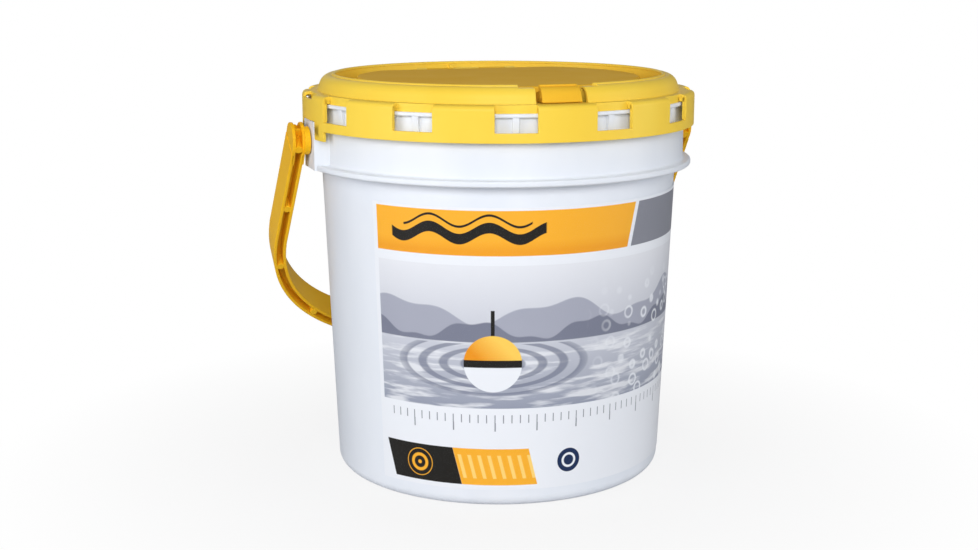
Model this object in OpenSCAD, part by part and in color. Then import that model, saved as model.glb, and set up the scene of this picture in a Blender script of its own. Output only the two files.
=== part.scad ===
// Insulated bait bucket: a tapered pail with a foam liner, a push-fit lid with a
// hinged hatch, and a bail with two walls and ribs that hangs behind the pail.
// Millimetres. +Z is up, the origin is the centre of the base, the bail swings
// about the X direction, and the hatch opens from the finger tab at -Y.

/* [Pail] */
// Height of the pail from the ground to the top of its rim
pail_h = 234.2; // [215:0.2:260]
// Outer radius that the tapered wall would have at ground level
pail_r = 103.2; // [98:0.1:110]
// Radius that the wall gains for each millimetre of height
taper = 0.04; // [0.02:0.005:0.06]
// Thickness of the pail's moulded walls
wall = 2; // [1.6:0.1:2.6]
// Height of the recess under the floor
foot_h = 3; // [2:0.5:5]
// Thickness of the pail's floor
floor_t = 2.5; // [2:0.1:4]
// Radius of the outer corner between base and wall
corner_r = 7; // [4:0.5:10]
// Height of the straight neck, from the flange's underside to the rim's top
neck_h = 40.8; // [36:0.2:48]
// How far the neck steps out from the tapered wall
neck_step = 4.7; // [4:0.1:6]
// Thickness of the carrying flange
flange_t = 3.6; // [2.5:0.1:5]
// How far the flange stands out from the neck
flange_out = 4.9; // [3.5:0.1:6]
// Thickness of the rim's lip
lip_t = 2.3; // [1.8:0.1:3]
// How far the lip stands out from the neck
lip_out = 2.9; // [2.2:0.1:3.6]
// Width of the small upright gussets under the lip
gusset_w = 4; // [2.5:0.5:6]

/* [Liner] */
// Thickness of the foam liner
liner_t = 15; // [10:0.5:20]
// Distance from the liner's top edge up to the pail's rim
liner_drop = 3.2; // [1:0.1:10]
// Gap between the liner and the pail's wall
liner_gap = 0.3; // [0.2:0.05:1]

/* [Lid] */
// Thickness of the lid's moulded walls
lid_t = 2; // [1.6:0.1:2.4]
// Gap between the lid's band and the rim's lip
lid_gap = 1.5; // [0.8:0.1:2.5]
// How far the lid's band hangs below the rim's top
band_drop = 16; // [12:0.1:18]
// Height of the lid's deck above the rim's top
deck_rise = 4.7; // [3.8:0.1:7]
// Radius of the rounded shoulder between band and deck
shoulder_r = 3; // [1.5:0.5:4]
// Distance from the band's outside in to the foot of the sloping collar
collar_in = 9.3; // [8.5:0.1:11]
// Distance from the band's outside in to the crest's centre line
crest_in = 19.4; // [18.5:0.1:21]
// Height of the crest above the deck
crest_rise = 10.1; // [9.5:0.1:11.5]
// Radius of the rounding that leads from the collar's slope to the crest
collar_round = 7.5; // [6:0.5:8]
// Radius of the rounded bead along the crest
bead_r = 1.1; // [0.8:0.1:1.4]
// Width of each window in the lid's band
window_w = 24; // [18:0.5:28]
// Height of the band's strip left below each window
window_sill = 5.6; // [4:0.1:7]
// Angle between neighbouring windows
window_pitch = 28; // [26:0.5:30]

/* [Hatch] */
// Distance of the hinge axis behind the lid's centre
hinge_y = 67; // [60:0.5:72]
// Gap between the hatch's flange and the crest's inner wall
hatch_gap = 1.7; // [1.4:0.1:2.5]
// Thickness of the hatch's walls
hatch_t = 2.2; // [1.8:0.1:2.6]
// Width of the groove between the crest and the hatch's raised panel
groove_w = 11.8; // [9:0.1:14]
// Height of the hatch's raised panel above the ledge it sits on
panel_rise = 8.4; // [8:0.1:9.2]
// Width of the finger tab
tab_w = 22.8; // [18:0.2:26]
// Radius of the hinge's knuckles
knuckle_r = 3.2; // [2.8:0.1:3.6]
// Radius of the hinge pin
pin_r = 1.5; // [1.2:0.1:1.8]
// Running clearance of the hinge pin and of the bail's studs, on the radius
run_gap = 0.05; // [0.03:0.01:0.08]
// Length of each middle knuckle
knuckle_len = 18; // [14:0.5:20]

/* [Bail] */
// Gap between the lid's band and the bail's inner face at its pivots
bail_gap = 1.8; // [1.2:0.1:3]
// Height of the bail's pivots above the flange's underside
pivot_rise = 16.9; // [15:0.1:18]
// Reach of the bail from its pivots to the inside of its loop
bail_reach = 186; // [180:1:200]
// Length of the bail's straight arms
arm_len = 84; // [70:1:100]
// How far each arm spreads for each millimetre of its length
arm_splay = 0.045; // [0:0.005:0.06]
// Thickness of the bail across its two walls
bail_t = 8; // [7:0.1:10]
// Width of the bail's strap
bail_w = 21; // [18:0.5:24]
// How far the strap's middle lies behind the line through its pivots
bail_offset = 4; // [2:0.1:5]
// Thickness of the bail's walls
bail_wall = 2; // [1.6:0.1:2.5]
// How far the middle of each round end lies below its pivot
end_drop = 2.6; // [1.5:0.1:3.5]
// Radius of the studs that the bail turns on
stud_r = 4; // [3:0.1:5]
// Depth that each stud reaches into its ear
stud_depth = 5; // [3:0.1:5.5]
// Gap between the hanging bail's loop and the pail's wall
bail_rest_gap = 1; // [0.8:0.1:4]

/* [Label] */
// Thickness of the printed film
film_t = 0.2; // [0.15:0.05:0.3]
// Gap between the film and the pail's wall
film_gap = 0.15; // [0.1:0.05:0.3]
// Height of the film's lower edge
film_low = 11.3; // [8:0.1:14]
// Height of the film's upper edge
film_high = 180.8; // [160:0.1:184]
// Angle of the film's left edge from the front
film_left = -60; // [-70:1:-50]
// Angle of the film's right edge from the front
film_right = 84; // [60:1:90]

/* [Hidden] */
$fn = 96;
big = 400;
seam = 0.05;

// pail
floor_z = foot_h + floor_t;
flange_z = pail_h - neck_h;
neck_r = pail_r + taper * flange_z + neck_step;
neck_in = neck_r - wall;
lip_z = pail_h - lip_t;
flange_r = neck_r + flange_out;
lip_r = neck_r + lip_out;
foot_in = pail_r - corner_r - 9;
pad_r = 14;
rib_w = 2;
rib_recess = 1;
inner_corner = 5;
flange_round = 1.2;
gusset_h = 10;
gusset_in = 0.4;

// liner
liner_top = pail_h - liner_drop;
liner_chamfer = 6;

// lid
band_in = lip_r + lid_gap;
band_r = band_in + lid_t;
band_z = pail_h - band_drop;
deck_z = pail_h + deck_rise;
crest_r = band_r - crest_in;
crest_z = deck_z + crest_rise;
crest_inner = crest_r - bead_r;
collar_r = band_r - collar_in;
collar_top = crest_z - bead_r - 0.6;
collar_tilt = 20;
collar_x = collar_r - 1.7 - collar_round * cos(collar_tilt);
collar_y = deck_z + 4.6 - collar_round * sin(collar_tilt);
ledge_z = deck_z - 0.7;
ledge_in = crest_inner - 6.5;
seat_out = band_in - 3;
plug_gap = 0.6;
plug_out = neck_in - plug_gap;
plug_z = pail_h - 6.4;
window_z = band_z + window_sill;
windows = [for (i = [0.5:1:2.5]) for (m = [-1, 1]) for (k = [0, 180]) k + m * i * window_pitch];
chord_y = hinge_y - 7;
notch_w = tab_w + 6;
notch_floor = 2;
bead_gap_w = 46;

// ears, with the notch and the tabs that the band has above them
ear_face = neck_r + 5.1;
ear_half = 13.5;
ear_foot_half = 22.5;
ear_top = pail_h - 11.4;
ear_gap = 0.5;
ear_notch_w = 32;
ear_tab_w = 12.8;
ear_tab_drop = 5.8;
ear_slot_z = pail_h + 1.2;

// hatch
flange_out_r = crest_inner - hatch_gap;
panel_r = crest_inner - groove_w - hatch_gap;
panel_z = ledge_z + panel_rise;
panel_y = hinge_y - 2;
rim_y = hinge_y - 9;
skirt_r = ledge_in - 2.4;
skirt_t = 1.8;
skirt_y = hinge_y - 11;
skirt_h = 7.3;
tongue_h = 11;
tongue_w = 40;
tongue_bead = 0.9;
hinge_z = panel_z - 2.8;
knuckle_gap = 0.6;
knuckle_cut_y = hinge_y - knuckle_r - 0.9;
cavity_y = knuckle_cut_y - 1.3;
outer_knuckle = 7;
tab_lift = 0.4;
tab_in = 0.3;
rib_ring_h = 0.7;

// bail
bail_half = band_r + bail_gap;
pivot_z = flange_z + pivot_rise;
loop_depth = bail_reach - arm_len;
loop_power = 2.2;
loop_half = bail_half + arm_splay * arm_len;
web_top = 5.5;
rib_in = 0.3;
back = bail_w / 2 + bail_offset;
front = bail_w / 2 - bail_offset;
arm_ribs = [2, 53];
loop_ribs = [10.5, 40.5, 66];
rib_t = 1.8;
pad_in_r = 2.6;
// the angle from straight down at which the hanging loop reaches the pail's wall
bail_rest = hang(37, 8);

function wall_r(z) = pail_r + taper * z;
function tip_z(a) = pivot_z - bail_reach * cos(a) - front * sin(a);
function tip_angle(a) = asin(min(0.95, (wall_r(tip_z(a)) + bail_rest_gap + front * cos(a)) / bail_reach));
function hang(a, n) = n == 0 ? a : hang(tip_angle(a), n - 1);
function on_circle(x, z, r, t) = [x + r * cos(t), z + r * sin(t)];
function arc(x, z, r, a, b, n = 8) = [for (i = [0:n]) on_circle(x, z, r, a + (b - a) * i / n)];
function backward(list) = [for (i = [len(list) - 1:-1:0]) list[i]];
// the collar's rounding at a depth below its surface, from the slope up to the crest
function collar_arc(depth, n) = arc(collar_x, collar_y, collar_round - depth, collar_tilt, 75, n);
function power(v, e) = v <= 0 ? 0 : pow(v, e);

// a bar of a given width that runs outward along +X, from one radius to another
module spoke(from, to, w, low, high) {
    translate([from, -w / 2, low])
        cube([to - from, w, high - low]);
}

// a disc cut straight at the back, the outline of everything on the hatch
module cut_disc(r, y, low, high) {
    intersection() {
        translate([0, 0, low])
            cylinder(r = r, h = high - low);
        translate([-r - 1, -r - 1, low - 1])
            cube([2 * r + 2, r + 1 + y, high - low + 2]);
    }
}

// a hollow wall that follows the cut disc
module cut_ring(r, y, t, low, high) {
    difference() {
        cut_disc(r, y, low, high);
        cut_disc(r - t, y - t, low - 1, high + 1);
    }
}

module rod(r, from, to) {
    translate([from, 0, 0])
        rotate([0, 90, 0])
            cylinder(r = r, h = to - from);
}

module pail_shell() {
    outer_z = flange_z;
    inner_step = flange_z + wall;
    rotate_extrude()
        polygon(concat(
            [[0, foot_h], [foot_in, foot_h], [foot_in + 1, 0]],
            arc(wall_r(corner_r) - corner_r, corner_r, corner_r, -90, 0),
            [[wall_r(outer_z), outer_z]],
            arc(flange_r - flange_round, outer_z + flange_round, flange_round, -90, 0, 4),
            arc(flange_r - flange_round, outer_z + flange_t - flange_round, flange_round, 0, 90, 4),
            arc(neck_r + 1.5, outer_z + flange_t + 1.5, 1.5, -90, -180, 4),
            [[neck_r, lip_z], [lip_r - 0.4, lip_z], [lip_r, lip_z + 0.4]],
            [[lip_r, pail_h - 0.5], [lip_r - 0.5, pail_h], [neck_in, pail_h]],
            [[neck_in, inner_step], [wall_r(inner_step) - wall, inner_step]],
            arc(wall_r(floor_z) - wall - inner_corner, floor_z + inner_corner, inner_corner, 0, -90, 6),
            [[0, floor_z]]
        ));
}

module pail() {
    color([0.92, 0.94, 0.97])
        difference() {
            union() {
                pail_shell();
                cylinder(r = pad_r, h = foot_h + seam);
                for (a = [0:60:300])
                    rotate([0, 0, a])
                        spoke(pad_r - 1, foot_in + 1.5, rib_w, rib_recess, foot_h + seam);
                for (a = concat(windows, [0, 180]))
                    rotate([0, 0, a - 90])
                        spoke(neck_in + 1, lip_r - gusset_in, gusset_w, lip_z - gusset_h, lip_z + seam);
                for (a = [0, 180])
                    rotate([0, 0, a])
                        ear();
            }
            for (a = [0, 180])
                rotate([0, 0, a])
                    translate([0, 0, pivot_z])
                        rod(stud_r + run_gap, ear_face - stud_depth - ear_gap, ear_face + 1);
        }
}

// the block that carries one end of the bail
module ear() {
    foot = sqrt(neck_in * neck_in - ear_foot_half * ear_foot_half) + 1;
    side = sqrt(neck_r * neck_r - ear_foot_half * ear_foot_half) + 0.2;
    translate([0, 0, flange_z + seam])
        linear_extrude(ear_top - flange_z - seam)
            polygon([
                [foot, -ear_foot_half], [side, -ear_foot_half], [ear_face, -ear_half],
                [ear_face, ear_half], [side, ear_foot_half], [foot, ear_foot_half]
            ]);
}

module foam_liner() {
    bottom = floor_z;
    out_low = wall_r(bottom) - wall - liner_gap;
    out_top = wall_r(liner_top) - wall - liner_gap;
    in_low = out_low - liner_t;
    in_top = out_top - liner_t;
    color([0.86, 0.87, 0.89])
        rotate_extrude()
            polygon(concat(
                [[0, bottom]],
                arc(out_low - inner_corner, bottom + inner_corner, inner_corner, -90, 0, 6),
                [[out_top, liner_top], [in_top + liner_chamfer, liner_top]],
                [[in_top, liner_top - liner_chamfer]],
                arc(in_low - 8, bottom + liner_t + 8, 8, 0, -90, 6),
                [[0, bottom + liner_t]]
            ));
}

module label_film() {
    low = wall_r(film_low) + film_gap;
    high = wall_r(film_high) + film_gap;
    color([0.96, 0.72, 0.25])
        rotate([0, 0, film_left - 90])
            rotate_extrude(angle = film_right - film_left)
                polygon([
                    [low, film_low], [low + film_t, film_low],
                    [high + film_t, film_high], [high, film_high]
                ]);
}

// the lid's section, from the band round over the deck and the collar to the ledge
module lid_shell() {
    inner_wall = crest_inner + lid_t;
    under = deck_z - lid_t;
    hollow = collar_arc(lid_t, 5);
    rotate_extrude()
        polygon(concat(
            [[band_in, band_z], [band_r, band_z]],
            arc(band_r - shoulder_r, deck_z - shoulder_r, shoulder_r, 0, 90, 6),
            [[collar_r, deck_z]],
            collar_arc(0, 10),
            arc(crest_r, crest_z - bead_r, bead_r, 0, 180, 10),
            [[crest_inner, ledge_z], [ledge_in, ledge_z], [ledge_in, ledge_z - lid_t]],
            [[inner_wall, ledge_z - lid_t], [inner_wall, hollow[5][1]]],
            backward(hollow),
            [[collar_r - lid_t, under]],
            [[plug_out - lid_t, under], [plug_out - lid_t, plug_z], [plug_out, plug_z], [plug_out, under]],
            [[seat_out - lid_t, under], [seat_out - lid_t, pail_h], [seat_out, pail_h], [seat_out, under]],
            [[band_in, under]]
        ));
}

// two short tabs of the band beside one ear
module ear_tabs() {
    mid = (ear_notch_w + ear_tab_w) / 2;
    intersection() {
        rotate_extrude()
            translate([band_in, band_z - ear_tab_drop])
                square([lid_t, ear_tab_drop + 2]);
        for (m = [-1, 1])
            rotate([0, 0, m * asin(mid / band_r)])
                spoke(band_in - 10, band_r + 10, ear_tab_w, band_z - ear_tab_drop - 1, band_z + 3);
    }
}

// the fixed half of the hatch's hinge: one middle and two outer knuckles on posts
module lid_knuckles() {
    half = knuckle_len / 2;
    spans = [
        [-half + knuckle_gap / 2, half - knuckle_gap / 2],
        [1.5 * knuckle_len + knuckle_gap / 2, 1.5 * knuckle_len + outer_knuckle],
        [-1.5 * knuckle_len - outer_knuckle, -1.5 * knuckle_len - knuckle_gap / 2]
    ];
    for (s = spans) {
        translate([0, hinge_y, hinge_z])
            rod(knuckle_r, s[0], s[1]);
        translate([s[0], hinge_y - 1.5, ledge_z - seam])
            cube([s[1] - s[0], 3.5, hinge_z - ledge_z + seam]);
    }
}

module lid() {
    color([0.98, 0.79, 0.22])
        difference() {
            union() {
                lid_shell();
                ear_tabs();
                rotate([0, 0, 180])
                    ear_tabs();
                // the fixed rear part of the deck, behind the hinge
                difference() {
                    translate([0, 0, ledge_z - lid_t])
                        cylinder(r = crest_inner + 0.5, h = lid_t);
                    cut_disc(crest_inner + 2, chord_y, ledge_z - lid_t - 1, ledge_z + 1);
                }
                // the floor of the notch below the finger tab
                rotate([0, 0, -90])
                    intersection() {
                        spoke(crest_inner - 1, collar_r + 1, notch_w + 2, deck_z - notch_floor, deck_z);
                        cylinder(r = collar_r + 0.5, h = big);
                    }
                lid_knuckles();
                // a short rib on the crest's inner wall, behind the hinge
                rotate([0, 0, 90])
                    spoke(crest_inner - 3, crest_inner + 0.5, 3, ledge_z - seam, crest_z - bead_r);
            }
            // windows through the band, the shoulder and the edge of the deck
            difference() {
                for (a = windows)
                    rotate([0, 0, a - 90])
                        spoke(seat_out - 4, big, window_w, window_z, big);
                cylinder(r = seat_out, h = big);
            }
            // slots in the shoulder above the ears, and the band's raised edge there
            difference() {
                for (a = [0, 180])
                    rotate([0, 0, a]) {
                        spoke(seat_out - 4, big, window_w, ear_slot_z, big);
                        spoke(seat_out - 4, big, ear_notch_w, band_z - 1, ear_top + ear_gap);
                    }
                cylinder(r = seat_out, h = big);
            }
            // the notch through crest and collar for the finger tab
            rotate([0, 0, -90]) {
                spoke(crest_inner - 3, collar_r + 4, notch_w, deck_z, big);
                spoke(crest_inner - 3, collar_r, bead_gap_w, collar_top, big);
            }
            translate([0, hinge_y, hinge_z])
                rod(pin_r + run_gap, -big / 2, big / 2);
        }
}

// the moving half of the hinge
module hatch_knuckles() {
    for (m = [0, 1])
        mirror([m, 0, 0])
            translate([0, hinge_y, hinge_z])
                rod(knuckle_r, knuckle_len / 2 + knuckle_gap / 2, 1.5 * knuckle_len - knuckle_gap / 2);
}

// the finger tab: an arm over the notch's floor, and a panel that carries on the collar's outside
module finger_tab() {
    low = deck_z + tab_lift;
    top = collar_arc(tab_in, 8);
    under = collar_arc(tab_in + hatch_t, 8);
    rotate([0, 0, -90]) {
        spoke(flange_out_r - 5, collar_r - 2, tab_w, low, low + hatch_t);
        intersection() {
            spoke(crest_inner - 1, collar_r + 1, tab_w, low, crest_z);
            rotate_extrude()
                polygon(concat(
                    [[collar_r - tab_in - hatch_t, low], [collar_r - tab_in, low]],
                    top,
                    [[crest_r + 2, crest_z - 0.3], [crest_r + 1.6, crest_z], [crest_r - 0.4, crest_z]],
                    [[crest_r - 0.4, under[8][1]]],
                    backward(under)
                ));
        }
        for (m = [-1, 1])
            translate([0, m * (tab_w / 2 - 1), 0])
                spoke(flange_out_r - 4, crest_r + 3, 2, low, crest_z - 3);
    }
}

module hatch() {
    mid_notch = knuckle_len + knuckle_gap;
    color([0.95, 0.75, 0.2])
        difference() {
            union() {
                // raised panel with its rim wall
                difference() {
                    cut_disc(panel_r, panel_y, ledge_z, panel_z);
                    cut_disc(panel_r - hatch_t, cavity_y, ledge_z - 1, panel_z - hatch_t);
                }
                // flange that sits on the lid's ledge
                difference() {
                    cut_disc(flange_out_r, rim_y, ledge_z, ledge_z + hatch_t);
                    cut_disc(panel_r - 1, panel_y + 1, ledge_z - 1, ledge_z + hatch_t + 1);
                }
                // plug skirt, and the tongue that grips under the ledge
                cut_ring(skirt_r, skirt_y, skirt_t, ledge_z - skirt_h, ledge_z + 0.5);
                intersection() {
                    rotate_extrude()
                        translate([skirt_r - skirt_t, ledge_z - tongue_h])
                            polygon([
                                [0, 0], [skirt_t, 0], [skirt_t, 4.5], [skirt_t + tongue_bead, 6],
                                [skirt_t, 7.5], [skirt_t, tongue_h], [0, tongue_h]
                            ]);
                    rotate([0, 0, -90])
                        spoke(skirt_r - 12, skirt_r + 5, tongue_w, ledge_z - tongue_h - 1, ledge_z + 1);
                }
                // a low ring that stiffens the panel
                difference() {
                    cut_disc(panel_r - 5, panel_y - 7, panel_z - 1, panel_z + rib_ring_h);
                    cut_disc(panel_r - 7, panel_y - 9, panel_z - 2, panel_z + rib_ring_h + 1);
                }
                hatch_knuckles();
                finger_tab();
            }
            // room for the lid's knuckles
            translate([-mid_notch / 2, knuckle_cut_y, ledge_z - 1])
                cube([mid_notch, 12, big]);
            for (m = [0, 1])
                mirror([m, 0, 0])
                    translate([1.5 * knuckle_len - knuckle_gap / 2, knuckle_cut_y, ledge_z - 1])
                        cube([outer_knuckle + 2 * knuckle_gap, 12, big]);
            translate([0, hinge_y, hinge_z])
                rod(pin_r + run_gap, -big / 2, big / 2);
        }
}

module hinge_pin() {
    half = 1.5 * knuckle_len + outer_knuckle;
    color([0.75, 0.76, 0.78])
        translate([0, hinge_y, hinge_z])
            rod(pin_r, -half, half);
}

// the bail lies flat here: X across, -Y down its arms, +Z to its front side
function arm_x(s, o) = bail_half + arm_splay * s + o;
function loop_x(t, o) = sign(cos(t)) * (loop_half + o) * power(abs(cos(t)), 2 / loop_power);
function loop_y(t, o) = -arm_len - (loop_depth + o) * power(sin(t), 2 / loop_power);
function loop_point(t, o) = [loop_x(t, o), loop_y(t, o)];
function bail_edge(o, n = 48) = [for (i = [0:n]) loop_point(180 * i / n, o)];

// a strip of the bail between two offsets from its inner face, starting at a given arm station
module bail_strip(o1, o2, start) {
    right = arm_x(start, o2);
    left = arm_x(start, o1);
    outer = concat([[right, -start]], bail_edge(o2), [[-right, -start]]);
    inner = concat([[-left, -start]], backward(bail_edge(o1)), [[left, -start]]);
    polygon(concat(outer, inner));
}

// one wall of a pivot end, rounded over the strap's full width
module end_wall(x) {
    translate([0, -end_drop, -bail_offset])
        rod(bail_w / 2, x, x + bail_wall);
    translate([x, -14, -back])
        cube([bail_wall, 14 - end_drop, bail_w]);
}

// a cross rib with its small round pad
module bail_rib() {
    translate([0, 0, -back + rib_in])
        linear_extrude(bail_w - 2 * rib_in)
            union() {
                translate([-bail_t / 2 + 0.5, -rib_t / 2])
                    square([bail_t - 1, rib_t]);
                circle(r = pad_in_r);
            }
}

module bail_flat() {
    mid = bail_t / 2;
    translate([0, 0, -back])
        linear_extrude(bail_w)
            bail_strip(0, bail_wall, 6);
    translate([0, 0, -back])
        linear_extrude(bail_w)
            bail_strip(bail_t - bail_wall, bail_t, 6);
    translate([0, 0, -bail_offset - bail_wall / 2])
        linear_extrude(bail_wall)
            bail_strip(0.5, bail_t - 0.5, -web_top);
    for (m = [0, 1])
        mirror([m, 0, 0]) {
            end_wall(bail_half);
            end_wall(bail_half + bail_t - bail_wall);
            rod(stud_r, ear_face - stud_depth, bail_half + 1);
            for (s = arm_ribs)
                translate([arm_x(s, mid), -s, 0])
                    bail_rib();
        }
    for (t = concat(loop_ribs, [90], [for (t = loop_ribs) 180 - t]))
        translate(concat(loop_point(t, mid), [0]))
            rotate([0, 0, -t])
                bail_rib();
}

module bail() {
    color([0.97, 0.76, 0.16])
        translate([0, 0, pivot_z])
            rotate([90 + bail_rest, 0, 0])
                bail_flat();
}

pail();
foam_liner();
label_film();
lid();
hatch();
hinge_pin();
bail();
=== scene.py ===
# %% [markdown]
# # An insulated bait bucket
# A white moulded pail with a foam cup inside it, a yellow push-fit lid with twelve windows in its
# band, a hatch on a rear hinge, a channel-section bail and a printed film round the front.
# Each piece is modelled over the fixed CAD frame, in the same place, so it moves with its CAD body.

# %% Load the frame
import math

import bmesh
import bpy
from mathutils import Matrix, Vector


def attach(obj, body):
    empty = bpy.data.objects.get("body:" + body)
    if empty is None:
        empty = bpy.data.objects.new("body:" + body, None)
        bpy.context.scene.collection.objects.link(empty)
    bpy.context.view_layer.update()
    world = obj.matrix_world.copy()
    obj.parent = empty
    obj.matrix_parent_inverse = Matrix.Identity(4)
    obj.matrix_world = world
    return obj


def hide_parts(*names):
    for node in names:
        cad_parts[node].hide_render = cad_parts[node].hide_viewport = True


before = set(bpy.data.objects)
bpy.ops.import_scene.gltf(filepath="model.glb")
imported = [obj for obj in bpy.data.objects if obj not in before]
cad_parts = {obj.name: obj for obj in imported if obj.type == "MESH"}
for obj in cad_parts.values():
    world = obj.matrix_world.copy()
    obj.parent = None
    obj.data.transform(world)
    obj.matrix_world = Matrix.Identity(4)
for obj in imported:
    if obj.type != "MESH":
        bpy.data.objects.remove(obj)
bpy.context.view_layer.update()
print("CAD nodes:", sorted(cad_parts))

# %% [markdown]
# ## Working in millimetres
# The real mouldings are drawn in millimetres, so every mesh is too, and it is scaled to metres once,
# when the piece is finished. Everything on a bucket is placed by its distance from the axis, its
# angle round from the finger tab and its height, so one helper turns those three into a point.

# %% Points and arcs
MM = 0.001


def point_on(radius, azimuth, height):
    """A point at a distance from the axis, an angle from the front (degrees) and a height."""
    turn = math.radians(azimuth)
    return Vector((radius * math.sin(turn), -radius * math.cos(turn), height))


def arc(radius, height, size, start, stop, pieces):
    """Points of a rounded corner in a section: a list of (radius, height)."""
    angles = [math.radians(start + (stop - start) * i / pieces) for i in range(pieces + 1)]
    return [(radius + size * math.cos(a), height + size * math.sin(a)) for a in angles]


def backwards(points):
    return list(reversed(points))


def azimuth_of(point):
    return math.degrees(math.atan2(point.x, -point.y))


def distance_of(point):
    return math.hypot(point.x, point.y)


# %% [markdown]
# ## Shells, and how they become a piece
# A moulding is often several simple closed shells that run into each other. Each shell is made and
# softened alone, then joined into the piece's mesh. Shading is smooth, with the fold kept sharp
# where two faces meet at more than about 30 degrees, and a weighted normal keeps flats flat.

# %% Cleaning, softening and joining shells
def cleaned(bm):
    """Closes seams and poles and turns every face outwards."""
    bmesh.ops.remove_doubles(bm, verts=bm.verts, dist=0.002)
    bmesh.ops.dissolve_degenerate(bm, edges=bm.edges, dist=0.0005)
    bmesh.ops.recalc_face_normals(bm, faces=bm.faces)
    return bm


def sharp_edges(bm, least=30, keep=lambda middle: True):
    """Edges where the surface folds by more than an angle, and whose middle passes a test."""
    folded = [e for e in bm.edges if e.is_manifold and e.calc_face_angle(0) > math.radians(least)]
    return [e for e in folded if keep((e.verts[0].co + e.verts[1].co) / 2)]


def soften(bm, edges, width, segments=2):
    """Rounds edges a little, as a mould does."""
    bmesh.ops.bevel(bm, geom=edges, offset=width, offset_type="OFFSET", segments=segments,
                    profile=0.5, affect="EDGES", clamp_overlap=True, material=-1)
    return bm


def join(whole, *shells):
    """Adds finished shells to a piece's mesh."""
    for shell in shells:
        carrier = bpy.data.meshes.new("shell")
        shell.to_mesh(carrier)
        shell.free()
        whole.from_mesh(carrier)
        bpy.data.meshes.remove(carrier)
    return whole


# %% Turning a mesh into a piece that rides on a body
def finish_piece(bm, name, body, material, stands_for=(), crease=30):
    """Scales the mesh to metres and makes the object that takes the CAD node's place."""
    bmesh.ops.scale(bm, vec=(MM, MM, MM), verts=bm.verts)
    mesh = bpy.data.meshes.new(name)
    bm.to_mesh(mesh)
    bm.free()
    mesh.shade_smooth()
    mesh.set_sharp_from_angle(angle=math.radians(crease))
    mesh.materials.append(material)
    piece = bpy.data.objects.new(name, mesh)
    bpy.context.scene.collection.objects.link(piece)
    weighted = piece.modifiers.new("flat faces stay flat", "WEIGHTED_NORMAL")
    weighted.keep_sharp = True
    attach(piece, body)
    if stands_for:
        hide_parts(*stands_for)
    triangles = sum(len(p.vertices) - 2 for p in mesh.polygons)
    print(f"{name}: {triangles} triangles on {body}")
    return piece


# %% [markdown]
# ## Turned, extruded and carved shells
# Four ways of making a shell cover the whole bucket: a section spun about the axis, a flat outline
# raised to a height, a tube along the hinge line, and one block carved out of another.

# %% Spinning a section
def turned(section, start=-180.0, stop=180.0, steps=180, closed=True, bm=None):
    """Spins a chain of (radius, height) points about the bucket's axis."""
    bm = bm or bmesh.new()
    chain = [bm.verts.new(point_on(r, start, z)) for r, z in section]
    wires = [bm.edges.new(pair) for pair in zip(chain, chain[1:])]
    if closed:
        wires.append(bm.edges.new((chain[-1], chain[0])))
    bmesh.ops.spin(bm, geom=chain + wires, cent=(0, 0, 0), axis=(0, 0, 1),
                   angle=math.radians(stop - start), steps=steps, use_merge=stop - start >= 360)
    return bm


def turned_part(section, start, stop, steps):
    """A closed section spun part of the way round, with both its ends closed."""
    bm = cleaned(turned(section, start, stop, steps))
    open_edges = [e for e in bm.edges if e.is_boundary]
    bmesh.ops.holes_fill(bm, edges=open_edges, sides=0)
    return cleaned(bm)


# %% Raising an outline, and a block
def raised(bm, height):
    """Raises every face of a flat outline to make a closed block."""
    lifted = bmesh.ops.extrude_face_region(bm, geom=bm.faces[:])["geom"]
    tops = [v for v in lifted if isinstance(v, bmesh.types.BMVert)]
    bmesh.ops.translate(bm, vec=(0, 0, height), verts=tops)
    return cleaned(bm)


def flat_outline(points, height):
    """One face through a list of (x, y) points."""
    bm = bmesh.new()
    bm.faces.new([bm.verts.new((x, y, height)) for x, y in points])
    return bm


def block(low, high):
    """A box between two corners."""
    bm = bmesh.new()
    bmesh.ops.create_cube(bm, size=1)
    size = [b - a for a, b in zip(low, high)]
    middle = [(a + b) / 2 for a, b in zip(low, high)]
    bmesh.ops.scale(bm, vec=size, verts=bm.verts)
    bmesh.ops.translate(bm, vec=middle, verts=bm.verts)
    return bm


def at_azimuth(bm, azimuth):
    """Turns a shell that was made at the front (-Y) to another angle round the bucket."""
    bmesh.ops.rotate(bm, cent=(0, 0, 0), matrix=Matrix.Rotation(math.radians(azimuth), 3, "Z"),
                     verts=bm.verts)
    return bm


# %% Tubes along X, and carving
def tube(outer, inner, low, high, y, z, steps=32):
    """A short pipe along the X direction, such as a knuckle. With no inner radius it is a rod."""
    bm = bmesh.new()
    ring = [(low, inner), (low, outer), (high, outer), (high, inner)]
    chain = [bm.verts.new((x, 0, r)) for x, r in ring]
    wires = [bm.edges.new((chain[i], chain[i + 1])) for i in range(3)]
    if inner > 0:
        wires.append(bm.edges.new((chain[3], chain[0])))
    bmesh.ops.spin(bm, geom=chain + wires, cent=(0, 0, 0), axis=(1, 0, 0),
                   angle=math.tau, steps=steps, use_merge=True)
    bmesh.ops.translate(bm, vec=(0, y, z), verts=bm.verts)
    return cleaned(bm)


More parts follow.
